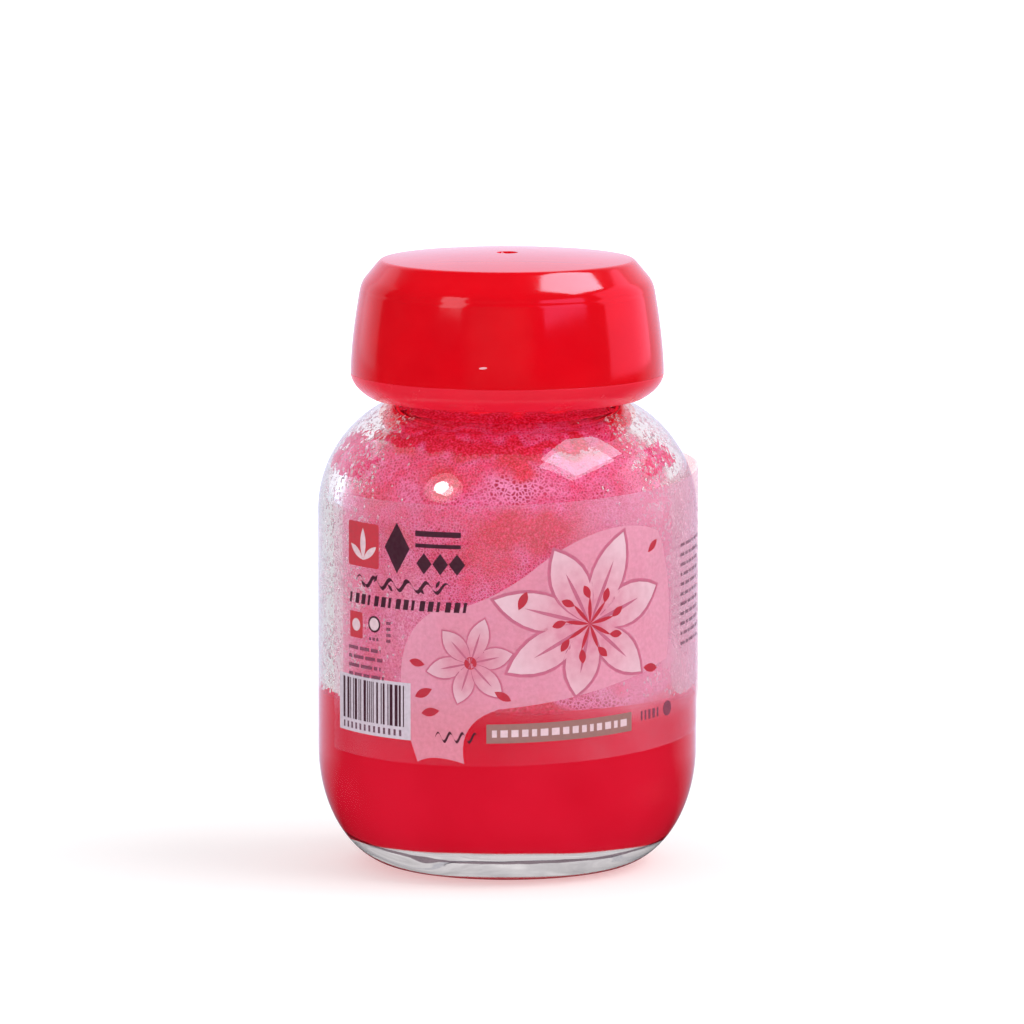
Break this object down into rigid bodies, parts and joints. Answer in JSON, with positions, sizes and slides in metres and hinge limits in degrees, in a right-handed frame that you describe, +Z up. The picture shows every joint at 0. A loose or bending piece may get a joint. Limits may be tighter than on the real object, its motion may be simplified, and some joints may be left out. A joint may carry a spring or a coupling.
{
  "type": "nail polish remover jar",
  "caption": "Round clear glass jar that holds a soaked foam sponge with a finger hole, closed by a red screw cap, for taking nail polish off by dipping a finger.",
  "frame": {"origin": "middle of the jar's base, on the surface that it stands on", "axes": "+Z up along the jar's axis towards the cap; -Y is the front of the label"},
  "size_m": [0.0483, 0.0486, 0.0779],
  "materials": {
    "clear_glass": "clear polished container glass",
    "gloss_red_plastic": "glossy moulded plastic, saturated red",
    "satin_red_plastic": "satin moulded plastic, slightly lighter red",
    "liner_foam": "white closed-cell sealing foam",
    "sponge_foam": "open-cell foam, pink, soaked deep red in patches",
    "remover": "red tinted liquid",
    "label_film": "clear slightly hazy printed film"
  },
  "bodies": {
    "jar": {"glass_jar": "clear_glass", "sponge": "sponge_foam", "remover_liquid": "remover", "label": "label_film"},
    "liner": {"cap_liner": "liner_foam"},
    "cap": {"cap_shell": "gloss_red_plastic", "cap_insert": "satin_red_plastic"}
  },
  "joints": [
    {"name": "cap_lift", "type": "slide", "parent": "jar", "child": "liner", "axis": [0, 0, 1], "range_m": [0, 0.045]},
    {"name": "cap_turn", "type": "hinge", "parent": "liner", "child": "cap", "pos_m": [0, 0, 0.07201], "axis": [0, 0, 1], "range_deg": [0, 360]}
  ]
}
